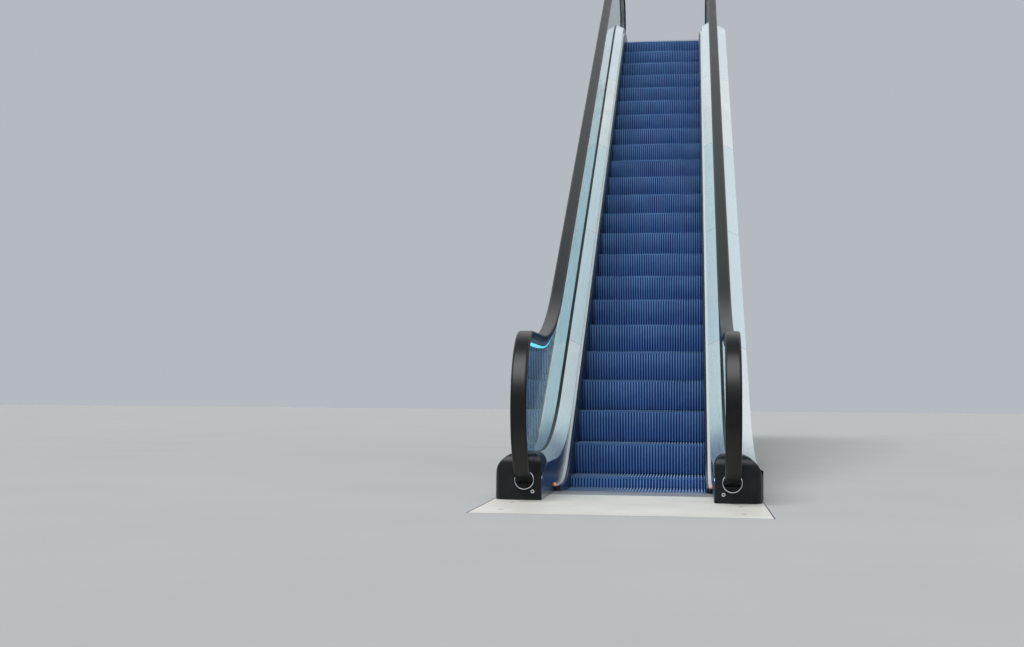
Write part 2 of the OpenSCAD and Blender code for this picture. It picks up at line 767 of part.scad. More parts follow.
// Plan of the cap, with its front corners rounded
outer_corner = 76;
inner_corner = 24;
plan_parts = 10;
module base_plan() {
    polygon(concat([[base_outer_x, base_y + base_len], [base_inner_x, base_y + base_len]],
        on_bend([base_inner_x, base_y] + inner_corner * [1, 1], inner_corner, 180, 270, plan_parts),
        on_bend([base_outer_x, base_y] + outer_corner * [-1, 1], outer_corner, 270, 360, plan_parts)));
}
// Collar in front of the deckings, a little proud of them
collar_len = 26;
collar_proud = 3;
module base_collar() {
    translate([0, base_y + base_len, floor_z])
        rotate([90, 0, 0])
        linear_extrude(collar_len)
        polygon([[base_inner_x, 0], [base_inner_x, deck_landing_h + collar_proud],
            [rail_x - clamp_half, base_h + collar_proud], [rail_x + clamp_half, base_h + collar_proud],
            [edge_x, base_h - outer_fall + collar_proud], [edge_x, 0]]);
}
// Moves to the middle of the inlet on the raked toe, with Z square to the toe and outwards
module at_inlet() {
    translate([rail_x, base_y + base_front - inlet_reach, floor_z + inlet_h])
        rotate([rake, 0, 0]) children();
}
pocket_clear = 4;
pocket_front = 70;
pocket_back = 64;
pocket_drop = 36;
pocket_up = 28;
module newel_bases() {
    color("black")
        both_sides()
        difference() {
            union() {
                intersection() {
                    plate_x(base_inner_x, base_outer_x) base_outline();
                    translate([0, base_y + base_len, 0]) rotate([90, 0, 0])
                        linear_extrude(base_len) base_front_view();
                    translate([0, 0, floor_z]) linear_extrude(dome_h) base_plan();
                }
                base_collar();
            }
            at_inlet() translate([0, 0, -inlet_reach / 2]) cylinder(r = inlet_r, h = inlet_reach);
            translate([rail_x - rail_w / 2 - pocket_clear, newel_y - pocket_front,
                floor_z + inlet_h - pocket_drop])
                cube([rail_w + 2 * pocket_clear, pocket_front + pocket_back, pocket_drop + pocket_up]);
            translate([rail_x - slot_half, base_y - over, floor_z + base_h - glass_bite])
                cube([2 * slot_half, base_len + 2 * over, base_h]);
            keys();
        }
}
module lower_newel_bases() { newel_bases(); }
module upper_newel_bases() { at_upper_end() newel_bases(); }

ring_lap = 1;
module inlet_rings() {
    both_sides()
        at_inlet()
        rotate_extrude()
        intersection() {
            translate([inlet_r + inlet_ring_t / 2 - ring_lap, 0]) circle(inlet_ring_t / 2);
            square(2 * inlet_r);
        }
}
module handrail_inlet_rings() {
    color("silver") {
        inlet_rings();
        at_upper_end() inlet_rings();
    }
}

key_in = 42;
key_x = base_inner_x + key_in;
key_below = 58;
key_up = inlet_h - key_below;
key_proud = 2;
key_len = 20;
module keys() {
    both_sides()
        translate([key_x, base_y + toe_rake * (key_up - key_r) / base_h - key_proud, floor_z + key_up])
        rotate([-90, 0, 0]) cylinder(r = key_r, h = key_len);
}
module key_switches() {
    color("silver") {
        keys();
        at_upper_end() keys();
    }
}

lamp_back = 40;
lamp_up = 40;
lamp_r = 10;
lamp_h = 6;
module lamps() {
    both_sides()
        translate([panel_x, skirt_y0 - lamp_back, floor_z + lamp_up])
        rotate([0, -90, 0]) cylinder(r = lamp_r, h = lamp_h);
}
module comb_lights() {
    color("orange") {
        lamps();
        at_upper_end() lamps();
    }
}

// Side panels between the outer decking and the sheets below
side_top_line = moved(deck_line, deck_crown - outer_fall - sheet_t);
panel_pitch = (end_y - start_y) / side_panel_count;
module side_field() {
    low = not_below(soffit_line, start_y, end_y);
    high = concat([[start_y, floor_z], [deck_y0, floor_z]], not_above(side_top_line, deck_y0, deck_y1),
        [[deck_y1, floor_z + rise], [end_y, floor_z + rise]]);
    difference() {
        field(low, high);
        for (i = [1 : side_panel_count - 1])
            translate([start_y + i * panel_pitch - joint / 2, 0]) square([joint, far]);
    }
}
module right_side_panels() {
    color("darkslategray") plate_x(side_x, side_x + sheet_t) side_field();
}
module left_side_panels() { mirror([1, 0, 0]) right_side_panels(); }

soffit_pitch = (end_y - start_y) / soffit_panel_count;
module soffit() {
    color("darkslategray")
        plate_x(-side_x - sheet_t, side_x + sheet_t)
        difference() {
            between(moved(soffit_line, -soffit_t), soffit_line, start_y, end_y);
            for (i = [1 : soffit_panel_count - 1])
                translate([start_y + i * soffit_pitch - joint / 2, 0]) square([joint, far]);
        }
}

// Cross frames under the slope: each stands on the soffit and carries the tracks
frame_start = 400;
frame_start_y = corner_1(soffit_line)[0] + frame_start;
frame_pitch = (upper_comb_y - frame_start_y) / (frame_count - 1);
module frame_slab(y, line) {
    intersection() {
        between(soffit_line, line, start_y, end_y);
        translate([y, 0]) square([frame_t, far]);
    }
}
module cross_frames() {
    color("gray")
        for (i = [0 : frame_count - 1])
            plate_x(-track_x, track_x) frame_slab(frame_start_y + i * frame_pitch, step_clear_line);
}

// Posts on the ends of the cross frames, under the tracks, up to the glass clamps and
// out to the side panels
post_gap = 0.5;
module frame_posts() {
    color("gray")
        both_sides()
        for (i = [0 : frame_count - 1]) {
            y = frame_start_y + i * frame_pitch;
            plate_x(track_x + post_gap, track_x + track_w) frame_slab(y, moved(track_line, -track_t));
            plate_x(track_x + track_w, rail_x + clamp_half)
                frame_slab(y, moved(deck_line, deck_crown - clamp_h));
            plate_x(rail_x + clamp_half, side_x) frame_slab(y, moved(side_top_line, -joint));
        }
}

module end_plates() {
    color("gray") {
        translate([-side_x, start_y, soffit_t]) cube([2 * side_x, end_plate_t, floor_z - soffit_t]);
        translate([-side_x, end_y - end_plate_t, floor_z + rise - head_depth])
            cube([2 * side_x, end_plate_t, head_depth]);
    }
}

module support_angle() {
    color("gray")
        difference() {
            translate([-flange_len / 2, 0, 0]) {
                translate([0, -flange_w / 2, 0]) cube([flange_len, flange_w, flange_t]);
                translate([0, flange_w / 2, 0]) cube([flange_len, flange_t, floor_z - flange_t]);
            }
            for (side = [-1, 1])
                translate([side * bolt_spacing / 2, 0, -over]) cylinder(r = bolt_r, h = flange_t + 2 * over);
        }
}
module lower_support_angle() { support_angle(); }
module upper_support_angle() { at_upper_end() support_angle(); }

lower_steps();
lower_slope_steps();
upper_slope_steps();
upper_steps();
step_rollers();
left_track();
right_track();
lower_combs();
upper_combs();
comb_plates();
lower_floor_plates();
upper_floor_plates();
landing_beams();
left_skirt();
right_skirt();
left_skirt_strip();
right_skirt_strip();
left_interior_panels();
right_interior_panels();
left_inner_decking();
right_inner_decking();
left_outer_decking();
right_outer_decking();
left_glass_clamp();
right_glass_clamp();
left_glass();
right_glass();
left_handrail_guide();
right_handrail_guide();
left_handrail();
right_handrail();
light_strips();
lower_newel_bases();
upper_newel_bases();
handrail_inlet_rings();
key_switches();
comb_lights();
left_side_panels();
right_side_panels();
soffit();
cross_frames();
frame_posts();
end_plates();
lower_support_angle();
upper_support_angle();
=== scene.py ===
import math

import bpy
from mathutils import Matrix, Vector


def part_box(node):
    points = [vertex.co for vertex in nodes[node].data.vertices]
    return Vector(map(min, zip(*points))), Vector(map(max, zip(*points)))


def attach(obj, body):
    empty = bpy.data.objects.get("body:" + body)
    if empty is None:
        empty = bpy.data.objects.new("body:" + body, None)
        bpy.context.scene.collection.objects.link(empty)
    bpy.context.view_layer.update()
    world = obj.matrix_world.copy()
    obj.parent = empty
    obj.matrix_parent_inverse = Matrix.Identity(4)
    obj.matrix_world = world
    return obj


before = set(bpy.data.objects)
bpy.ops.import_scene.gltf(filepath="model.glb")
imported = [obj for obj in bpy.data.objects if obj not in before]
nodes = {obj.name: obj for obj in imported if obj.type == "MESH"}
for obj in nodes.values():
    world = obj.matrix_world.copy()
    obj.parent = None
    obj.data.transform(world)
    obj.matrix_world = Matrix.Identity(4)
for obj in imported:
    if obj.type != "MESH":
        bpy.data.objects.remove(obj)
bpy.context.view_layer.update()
bpy.ops.object.select_all(action="DESELECT")

# Support angles and frame: rolled steel, welded and sprayed with primer. The angles hang
# the stair on the edges of both floor recesses. The primer is a dull dark grey in soft
# patches, with an orange peel of about 2 mm.


def srgb(code):
    """Linear colour of an sRGB hex value."""
    parts = [int(code[i:i + 2], 16) / 255 for i in (1, 3, 5)]
    linear = [v / 12.92 if v <= 0.04045 else ((v + 0.055) / 1.055) ** 2.4 for v in parts]
    return (*linear, 1.0)


def per_metre(size_mm):
    """A pattern's scale: how many features of a size in millimetres fill a metre."""
    return 1000 / size_mm


def feed(tree, node, inputs):
    """Gives a node's inputs what they take: values, or sockets of other nodes."""
    for name, value in inputs.items():
        if isinstance(value, bpy.types.NodeSocket):
            tree.links.new(value, node.inputs[name])
        else:
            node.inputs[name].default_value = value


def add(tree, kind, inputs=(), output=None, **settings):
    """One shader node with its settings and inputs. Gives its named output, or else itself."""
    made = tree.nodes.new("ShaderNode" + kind)
    for name, value in settings.items():
        setattr(made, name, value)
    feed(tree, made, dict(inputs))
    return made.outputs[output] if output else made


def finish(name):
    """A new material, its tree, its Principled shader and its Object coordinates."""
    made = bpy.data.materials.new(name)
    made.use_nodes = True
    tree = made.node_tree
    return made, tree, tree.nodes["Principled BSDF"], add(tree, "TexCoord", output="Object")


def mottled(tree, drift, low, high):
    """Two tones of one finish that pass into each other as a noise drifts past its middle."""
    share = add(tree, "MapRange", {"Value": drift, "From Min": 0.35, "From Max": 0.65}, "Result")
    return add(tree, "Mix", {"Factor": share, "A": srgb(low), "B": srgb(high)}, "Result",
               data_type="RGBA")


def coat(material, *names):
    """Puts a finish on pieces of the frame."""
    for name in names:
        for part in nodes[name].material_slots:
            part.material = material


primed_steel, tree, shader, place = finish("primed_steel")
peel = add(tree, "TexNoise", {"Vector": place, "Scale": per_metre(2.1), "Detail": 2.0}, "Fac")
patches = add(tree, "TexNoise", {"Vector": place, "Scale": per_metre(333), "Detail": 4.0}, "Fac")
bump = add(tree, "Bump", {"Height": peel, "Strength": 0.15, "Distance": 0.0004}, "Normal")
feed(tree, shader, {"Base Color": mottled(tree, patches, "#4c5055", "#5c6066"),
                    "Roughness": 0.6, "Normal": bump})
coat(primed_steel, "lower_support_angle", "upper_support_angle", "end_plates", "cross_frames",
     "frame_posts", "landing_beams")

# Casing: side panels and soffit of steel sheet with open joints, powder coated dark grey.
# The coat is dull and holds dust in broad patches. Its grain is drawn at 1.4 mm, coarser
# than the real one, so that it shows close up.
powder_coat, tree, shader, place = finish("powder_coated_steel")
grain = add(tree, "TexNoise", {"Vector": place, "Scale": per_metre(1.4), "Detail": 3.0}, "Fac")
dust = add(tree, "TexNoise", {"Vector": place, "Scale": per_metre(625), "Detail": 5.0,
                              "Roughness": 0.6}, "Fac")
sheen = add(tree, "MapRange", {"Value": dust, "To Min": 0.38, "To Max": 0.52}, "Result")
bump = add(tree, "Bump", {"Height": grain, "Strength": 0.2, "Distance": 0.0003}, "Normal")
feed(tree, shader, {"Base Color": mottled(tree, dust, "#34383d", "#3e4247"),
                    "Roughness": sheen, "Normal": bump})
coat(powder_coat, "left_side_panels", "right_side_panels", "soffit")

# Panel screws: low stainless heads, half sunk, along both sides of every joint of the side
# panels: one near each end of the joint, and one half way up a long joint. The turned
# steel glints unevenly, in spots drawn at 3.3 mm, coarser than the tool's marks, to show.
screw_steel, tree, shader, place = finish("stainless_screw")
turned = add(tree, "TexNoise", {"Vector": place, "Scale": per_metre(3.3), "Detail": 2.0}, "Fac")
sheen = add(tree, "MapRange", {"Value": turned, "To Min": 0.22, "To Max": 0.4}, "Result")
feed(tree, shader, {"Base Color": srgb("#8d9094"), "Metallic": 1.0, "Roughness": sheen})


def screw_head(radius, height, recess):
    """A head at the origin, its edge at z = 0, with a raised crown and a recess in that."""
    edge = radius * 0.12
    crown = height * 0.12
    depth = height * 0.5
    bpy.ops.object.select_all(action="DESELECT")
    bpy.ops.mesh.primitive_cylinder_add(vertices=24, radius=radius, depth=height,
                                        location=(0, 0, -height / 2))
    bpy.ops.object.transform_apply(location=True)
    head = bpy.context.object
    bpy.ops.object.mode_set(mode="EDIT")
    bpy.ops.mesh.select_all(action="DESELECT")
    bpy.ops.object.mode_set(mode="OBJECT")
    for face in head.data.polygons:
        face.select = face.normal.z > 0.9
    bpy.ops.object.mode_set(mode="EDIT")
    bpy.ops.mesh.inset(thickness=edge)
    bpy.ops.transform.translate(value=(0, 0, crown))
    bpy.ops.mesh.inset(thickness=radius - recess - edge)
    bpy.ops.transform.translate(value=(0, 0, -depth))
    bpy.ops.object.mode_set(mode="OBJECT")
    return head


def copies(piece, name, material, places, turns=None):
    """Copies a piece from the origin to each place, joins the copies and finishes them."""
    made = []
    for i, where in enumerate(places):
        twin = piece.copy()
        twin.data = piece.data.copy()
        bpy.context.collection.objects.link(twin)
        twin.location = where
        if turns:
            twin.rotation_euler = turns[i]
        made.append(twin)
    bpy.data.objects.remove(piece)
    bpy.ops.object.select_all(action="DESELECT")
    for twin in made:
        twin.select_set(True)
    joined = made[0]
    bpy.context.view_layer.objects.active = joined
    bpy.ops.object.join()
    bpy.ops.object.transform_apply(location=True, rotation=True, scale=True)
    joined.name = name
    joined.data.materials.clear()
    joined.data.materials.append(material)
    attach(joined, "root")


shortest_joint = 0.2
long_joint = 0.6
from_joint = 0.03
from_end = 0.05
head_height = 0.0024
panel_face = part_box("right_side_panels")[1][0]
casing = nodes["right_side_panels"]
heights = {}
for corner in casing.data.vertices:
    _, y, z = casing.matrix_world @ corner.co
    heights.setdefault(round(y, 3), set()).add(z)
edges = sorted(y for y, found in heights.items() if max(found) - min(found) > shortest_joint)
spots = []
for i, y in enumerate(edges):
    inward = from_joint if (len(edges) - i) % 2 == 0 else -from_joint
    low, high = min(heights[y]), max(heights[y])
    levels = [low + from_end, high - from_end]
    if high - low > long_joint:
        levels.append((low + high) / 2)
    spots += [(y + inward, z) for z in levels]
for side, name in ((1, "right_panel_screws"), (-1, "left_panel_screws")):
    head = screw_head(radius=0.007, height=head_height, recess=0.0035)
    head.rotation_euler = (0, side * math.radians(90), 0)
    outside = side * (panel_face + head_height / 2)
    copies(head, name, screw_steel, [(outside, y, z) for y, z in spots])

# Roller tracks and rollers: cold-rolled steel rails, bright under patches of oil, and
# rollers with dark polyurethane tyres, which run on the rails beside the steps and are
# scuffed in spots of about 17 mm.
track_steel, tree, shader, place = finish("cold_rolled_steel")
oil = add(tree, "TexNoise", {"Vector": place, "Scale": per_metre(167), "Detail": 4.0}, "Fac")
feed(tree, shader, {"Base Color": mottled(tree, oil, "#5f6266", "#7c7f82"),
                    "Metallic": 1.0, "Roughness": 0.35})
coat(track_steel, "left_track", "right_track")

roller_tyre, tree, shader, place = finish("polyurethane")
scuff = add(tree, "TexNoise", {"Vector": place, "Scale": per_metre(17), "Detail": 3.0}, "Fac")
feed(tree, shader, {"Base Color": mottled(tree, scuff, "#26282b", "#35373b"),
                    "Roughness": 0.5})
coat(roller_tyre, "step_rollers")

# Steps: die-cast aluminium, each one casting. Their blue is painted light: the blue light
# that falls on the steps is drawn as their colour. The grooves are darker, as painted
# shade, and the ridges between them paler, partly as wear and partly as a painted highlight
# where they catch the light; they are palest on top, where shoes and combs wear them.
step_width = 0.8
groove_count = 44

# A ridge takes a third of each pitch. Real grooves are about 9 mm apart; these are twice as
# coarse, to show. The grain of the coat is drawn at 2.4 mm, coarser than the real one, too.
# The blue of the steps is painted light: the blue light that falls on them, drawn as colour.
blue_lit_step_finish, tree, shader, place = finish("aluminium_casting_painted_blue_light")
across = add(tree, "SeparateXYZ", {"Vector": place}, "X")
pitches = add(tree, "Math", {0: across, 1: groove_count / step_width}, "Value",
              operation="MULTIPLY")
part_pitch = add(tree, "Math", {0: pitches}, "Value", operation="FRACT")
from_middle = add(tree, "Math", {0: part_pitch, 1: 0.5}, "Value", operation="SUBTRACT")
off_middle = add(tree, "Math", {0: from_middle}, "Value", operation="ABSOLUTE")
ridge = add(tree, "MapRange", {"Value": off_middle, "From Min": 0.3, "From Max": 0.33}, "Result")
speckle = add(tree, "TexNoise", {"Vector": place, "Scale": per_metre(2.4), "Detail": 3.0}, "Fac")
traffic = add(tree, "TexNoise", {"Vector": place, "Scale": per_metre(200), "Detail": 5.0,
                                 "Roughness": 0.65}, "Fac")
# Darker grooves are painted shade; paler ridges are wear and a painted highlight.
lit_ridges_shaded_grooves = add(tree, "Mix", {"Factor": ridge, "A": mottled(tree, traffic, "#1d3f81", "#244a90"),
                            "B": mottled(tree, traffic, "#6a95c8", "#7ea9d8")}, "Result",
              data_type="RGBA")
facing = add(tree, "TexCoord", output="Normal")
upward = add(tree, "SeparateXYZ", {"Vector": facing}, "Z")
top = add(tree, "MapRange", {"Value": upward, "From Min": 0.9, "From Max": 1.0,
                             "To Max": 0.6}, "Result")
worn = add(tree, "Math", {0: top, 1: ridge}, "Value", operation="MULTIPLY")
step_colour_with_wear_and_light = add(tree, "Mix", {"Factor": worn, "A": lit_ridges_shaded_grooves, "B": srgb("#a9c0dc")}, "Result",
             data_type="RGBA")
sheen = add(tree, "MapRange", {"Value": traffic, "To Min": 0.32, "To Max": 0.5}, "Result")
bump = add(tree, "Bump", {"Height": speckle, "Strength": 0.25, "Distance": 0.0004}, "Normal")
feed(tree, shader, {"Base Color": step_colour_with_wear_and_light, "Metallic": 0.2, "Roughness": sheen, "Normal": bump})
coat(blue_lit_step_finish, "lower_steps", "lower_slope_steps", "upper_slope_steps", "upper_steps")

# Combs: die-cast aluminium segments, satin, whose teeth stand in the tread grooves. Two
# stainless screws hold each segment. The grain that the mould leaves is drawn at 2 mm,
# coarser than the real one, so that it dulls the metal close up.
cast_aluminium, tree, shader, place = finish("satin_cast_aluminium")
grain = add(tree, "TexNoise", {"Vector": place, "Scale": per_metre(2), "Detail": 2.0}, "Fac")
tone = add(tree, "TexNoise", {"Vector": place, "Scale": per_metre(111), "Detail": 4.0}, "Fac")
bump = add(tree, "Bump", {"Height": grain, "Strength": 0.2, "Distance": 0.0003}, "Normal")
feed(tree, shader, {"Base Color": mottled(tree, tone, "#7c8085", "#90949a"),
                    "Metallic": 0.7, "Roughness": 0.42, "Normal": bump})
coat(cast_aluminium, "lower_combs", "upper_combs")

segment_middles = (-0.3, -0.1, 0.1, 0.3)
from_segment_middle = 0.07
from_comb_back = 0.018
proud = 0.0002
low_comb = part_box("lower_combs")
high_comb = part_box("upper_combs")
low_back, low_top = low_comb[0][1], low_comb[1][2]
high_back, high_top = high_comb[1][1], high_comb[1][2]
comb_rows = ((low_back + from_comb_back, low_top), (high_back - from_comb_back, high_top))
spots = [(middle + side * from_segment_middle, y, z + proud) for y, z in comb_rows
         for middle in segment_middles for side in (-1, 1)]
head = screw_head(radius=0.006, height=0.002, recess=0.003)
copies(head, "comb_screws", screw_steel, spots)

# Comb plates: aluminium, rolled with fine ribs 3 mm apart along the way of travel, dull
# grey like the combs, stained by shoes and screwed down along both edges.


def ribs(tree, place, axis, spacing_mm):
    """Round ribs that follow each other along an axis, from -1 between them to 1 on top."""
    along = add(tree, "SeparateXYZ", {"Vector": place}, axis)
    turns = add(tree, "Math", {0: along, 1: 2 * math.pi * per_metre(spacing_mm)}, "Value",
                operation="MULTIPLY")
    return add(tree, "Math", {0: turns}, "Value", operation="SINE")


ribbed_aluminium, tree, shader, place = finish("ribbed_rolled_aluminium")
stain = add(tree, "TexNoise", {"Vector": place, "Scale": per_metre(250), "Detail": 5.0,
                               "Roughness": 0.6}, "Fac")
sheen = add(tree, "MapRange", {"Value": stain, "To Min": 0.32, "To Max": 0.5}, "Result")
bump = add(tree, "Bump", {"Height": ribs(tree, place, "X", 3), "Strength": 0.35,
                          "Distance": 0.0006}, "Normal")
feed(tree, shader, {"Base Color": mottled(tree, stain, "#93969a", "#a7aaad"),
                    "Metallic": 0.45, "Roughness": sheen, "Normal": bump})
coat(ribbed_aluminium, "comb_plates")

behind_comb = (0.03, 0.27)
plate_screw_x = (-0.39, -0.13, 0.13, 0.39)
spots = [(x, back + way * row, z + proud)
         for back, z, way in ((low_back, low_top, -1), (high_back, high_top, 1))
         for row in behind_comb for x in plate_screw_x]
head = screw_head(radius=0.008, height=0.002, recess=0.004)
copies(head, "comb_plate_screws", screw_steel, spots)

# Floor plates: aluminium extrusions side by side, pale warm grey, ribbed across the way of
# travel, with two lifting holes closed by low plugs in each plate. Real ribs are about
# 5 mm apart; they are drawn at 12 mm, so that they show.
floor_aluminium, tree, shader, place = finish("extruded_floor_aluminium")
stain = add(tree, "TexNoise", {"Vector": place, "Scale": per_metre(400), "Detail": 6.0,
                               "Roughness": 0.62}, "Fac")
sheen = add(tree, "MapRange", {"Value": stain, "To Min": 0.36, "To Max": 0.55}, "Result")
bump = add(tree, "Bump", {"Height": ribs(tree, place, "Y", 12), "Strength": 0.3,
                          "Distance": 0.0008}, "Normal")
feed(tree, shader, {"Base Color": mottled(tree, stain, "#dcd9d0", "#e8e6df"),
                    "Metallic": 0.1, "Roughness": sheen, "Normal": bump})
coat(floor_aluminium, "lower_floor_plates", "upper_floor_plates")

plate_count = 3
plug_x = 0.56
plug_proud = 0.0004
spots = []
for low, high in (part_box("lower_floor_plates"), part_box("upper_floor_plates")):
    plate_length = (high[1] - low[1]) / plate_count
    spots += [(x, low[1] + plate_length * (i + 0.5), high[2] + plug_proud)
              for i in range(plate_count) for x in (-plug_x, plug_x)]
plug = screw_head(radius=0.012, height=0.003, recess=0.006)
copies(plug, "lifting_plugs", screw_steel, spots)

# Skirts: steel boards beside the steps, coated near-black blue with a low-friction
# lacquer. It is smooth and shines most where shoes and steps wipe past it.
skirt_lacquer, tree, shader, place = finish("low_friction_lacquer")
wipe = add(tree, "TexNoise", {"Vector": place, "Scale": per_metre(143), "Detail": 5.0}, "Fac")
sheen = add(tree, "MapRange", {"Value": wipe, "To Min": 0.16, "To Max": 0.3}, "Result")
feed(tree, shader, {"Base Color": mottled(tree, wipe, "#0e1424", "#172038"),
                    "Metallic": 0.3, "Roughness": sheen})
coat(skirt_lacquer, "left_skirt", "right_skirt")

# Skirt strips: fine ground stainless steel profiles on the top edges of the skirts, pale
# under any light, each closed at the combs by a rounded cap of moulded black nylon. The
# nylon has flow marks of about 8 mm.
ground_steel, tree, shader, place = finish("fine_ground_stainless_steel")
film = add(tree, "TexNoise", {"Vector": place, "Scale": per_metre(83.3), "Detail": 4.0}, "Fac")
sheen = add(tree, "MapRange", {"Value": film, "To Min": 0.34, "To Max": 0.44}, "Result")
feed(tree, shader, {"Base Color": srgb("#eaedef"), "Metallic": 0.45, "Roughness": sheen})
coat(ground_steel, "left_skirt_strip", "right_skirt_strip")

black_nylon, tree, shader, place = finish("moulded_black_nylon")
flow = add(tree, "TexNoise", {"Vector": place, "Scale": per_metre(8.3), "Detail": 3.0}, "Fac")
sheen = add(tree, "MapRange", {"Value": flow, "To Min": 0.3, "To Max": 0.45}, "Result")
feed(tree, shader, {"Base Color": srgb("#101113"), "Roughness": sheen})

cap_wide = 0.016
cap_long = 0.018
cap_high = 0.03
cap_round = 0.005
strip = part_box("right_skirt_strip")
bpy.ops.object.select_all(action="DESELECT")
bpy.ops.mesh.primitive_cube_add(size=1)
cap = bpy.context.object
cap.scale = (cap_wide, cap_long, cap_high)
bpy.ops.object.transform_apply(scale=True)
bevel = cap.modifiers.new("edge", "BEVEL")
bevel.width = cap_round
bevel.segments = 3
bpy.ops.object.modifier_apply(modifier="edge")
cap_x = (strip[0][0] + strip[1][0]) / 2
cap_rise = cap_high / 2 + proud
cap_rows = ((strip[0][1] - cap_long / 2, low_top + cap_rise),
            (strip[1][1] + cap_long / 2, high_top + cap_rise))
spots = [(side * cap_x, y, z) for side in (-1, 1) for y, z in cap_rows]
copies(cap, "strip_caps", black_nylon, spots)

# Interior panels and deckings: folded stainless sheet. The panels are tinted blue by their
# coating and mirror the steps softly; the deckings above them are bare and bright, brushed
# along the stair.
blue_steel, tree, shader, place = finish("blue_tinted_stainless_sheet")
drift = add(tree, "TexNoise", {"Vector": place, "Scale": per_metre(286), "Detail": 5.0}, "Fac")
sheen = add(tree, "MapRange", {"Value": drift, "To Min": 0.14, "To Max": 0.26}, "Result")
feed(tree, shader, {"Base Color": mottled(tree, drift, "#39424f", "#586372"),
                    "Metallic": 0.85, "Roughness": sheen})
coat(blue_steel, "left_interior_panels", "right_interior_panels")

# The deckings come in lengths of about 1.9 m, each rolled from another coil, so every
# length has its own tone and a hairline joint. The blue tint of these tones is a painted
# reflection of blue light. The brush marks are drawn 1.1 mm wide and half a metre long,
# coarser than the real ones, so that they show.
slope = math.radians(30)
sheet_length = 1.9
joint_width = 0.003
brushed_steel, tree, shader, place = finish("brushed_stainless_sheet")
mark_size = (per_metre(1.11), per_metre(500), per_metre(500))
stretched = add(tree, "Mapping", {"Vector": place, "Scale": mark_size}, "Vector")
brushing = add(tree, "TexNoise", {"Vector": stretched, "Scale": 1.0, "Detail": 3.0}, "Fac")
drift = add(tree, "TexNoise", {"Vector": place, "Scale": per_metre(455), "Detail": 4.0}, "Fac")
run = add(tree, "VectorMath", {0: place, 1: (0.0, math.cos(slope), math.sin(slope))}, "Value",
          operation="DOT_PRODUCT")
lengths = add(tree, "Math", {0: run, 1: 1 / sheet_length}, "Value", operation="MULTIPLY")
number = add(tree, "Math", {0: lengths}, "Value", operation="FLOOR")
part_length = add(tree, "Math", {0: lengths}, "Value", operation="FRACT")
coil = add(tree, "TexWhiteNoise", {"W": number}, "Value", noise_dimensions="1D")
# Pale tones of each length, tinted blue as a painted reflection of blue light.
tones_with_painted_blue = add(tree, "Mix", {"Factor": coil, "A": mottled(tree, drift, "#dae2e5", "#e6ebed"),
                          "B": srgb("#cddfe7")}, "Result", data_type="RGBA")
gap = add(tree, "Math", {0: part_length, 1: joint_width / sheet_length}, "Value",
          operation="LESS_THAN")
jointed = add(tree, "Mix", {"Factor": gap, "A": tones_with_painted_blue, "B": srgb("#3b4246")}, "Result",
              data_type="RGBA")
sheen = add(tree, "MapRange", {"Value": brushing, "To Min": 0.22, "To Max": 0.36}, "Result")
bump = add(tree, "Bump", {"Height": brushing, "Strength": 0.1, "Distance": 0.0002}, "Normal")
feed(tree, shader, {"Base Color": jointed, "Metallic": 0.9, "Roughness": sheen, "Normal": bump})
coat(brushed_steel, "left_inner_decking", "right_inner_decking", "left_outer_decking",
     "right_outer_decking")

# Glass clamps: extruded aluminium channels, black anodised, that grip the foot of the
# glass. The anodised skin is matt, with a mottle drawn at 2.9 mm, coarser than the real
# one, to show close up.
black_anodised, tree, shader, place = finish("black_anodised_aluminium")
matting = add(tree, "TexNoise", {"Vector": place, "Scale": per_metre(2.9), "Detail": 2.0}, "Fac")
feed(tree, shader, {"Base Color": mottled(tree, matting, "#1b1d20", "#27292d"),
                    "Metallic": 0.6, "Roughness": 0.38})
coat(black_anodised, "left_glass_clamp", "right_glass_clamp")

# Glass: 10 mm toughened panels, faintly green-blue, with smooth edges, held by the clamps.
# The furnace leaves a slight bow in each, so that what they mirror bends a little.
toughened_glass, tree, shader, place = finish("toughened_glass")
bow = add(tree, "TexNoise", {"Vector": place, "Scale": per_metre(833), "Detail": 1.0}, "Fac")
bump = add(tree, "Bump", {"Height": bow, "Strength": 0.05, "Distance": 0.002}, "Normal")
feed(tree, shader, {"Base Color": srgb("#c0dee4"), "Transmission Weight": 1.0, "IOR": 1.5,
                    "Roughness": 0.02, "Normal": bump})
coat(toughened_glass, "left_glass", "right_glass")

# Handrail guides: satin stainless profiles on the top edge of the glass, rubbed in spots
# of about 40 mm. Below them run the acrylic diffusers of the light strips, with a lamp
# every 30 mm behind them that shows as a brighter spot.
satin_steel, tree, shader, place = finish("satin_stainless_profile")
rub = add(tree, "TexNoise", {"Vector": place, "Scale": per_metre(40), "Detail": 3.0}, "Fac")
sheen = add(tree, "MapRange", {"Value": rub, "To Min": 0.25, "To Max": 0.4}, "Result")
feed(tree, shader, {"Base Color": srgb("#b9bec3"), "Metallic": 1.0, "Roughness": sheen})
coat(satin_steel, "left_handrail_guide", "right_handrail_guide")

diffuser, tree, shader, place = finish("lit_acrylic_diffuser")
glow = add(tree, "MapRange", {"Value": ribs(tree, place, "Y", 30), "From Min": -1.0,
                              "To Min": 0.7, "To Max": 1.1}, "Result")
feed(tree, shader, {"Base Color": srgb("#8fe3ea"), "Emission Color": srgb("#5fd8e4"),
                    "Emission Strength": glow, "Roughness": 0.45})
coat(diffuser, "light_strips")

